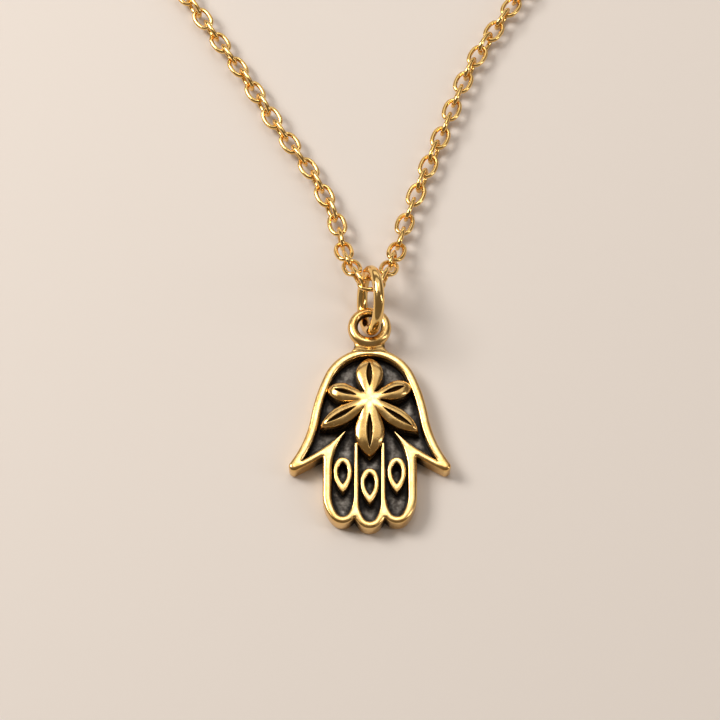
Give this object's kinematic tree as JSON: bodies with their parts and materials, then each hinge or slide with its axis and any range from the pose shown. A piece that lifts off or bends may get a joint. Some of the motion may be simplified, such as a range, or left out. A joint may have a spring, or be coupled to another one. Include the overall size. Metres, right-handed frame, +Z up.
{
  "type": "hamsa pendant necklace",
  "caption": "Antiqued gold hamsa hand pendant with a raised flower and teardrops, hung by a jump ring on a fine cable chain.",
  "frame": {"origin": "middle of the pendant's flat back, on the surface that it lies on, half way between the top of its dome and its middle fingertip", "axes": "+X to the right across the hand, +Y from the fingers up towards the chain, +Z up out of the pendant's face"},
  "size_m": [0.0972, 0.189, 0.0064],
  "materials": {
    "antiqued_gold": "polished",
    "polished_gold": "polished"
  },
  "bodies": {
    "root": {"pendant": "antiqued_gold", "jump_ring": "polished_gold", "chain": "polished_gold", "clasp": "polished_gold"}
  },
  "joints": []
}
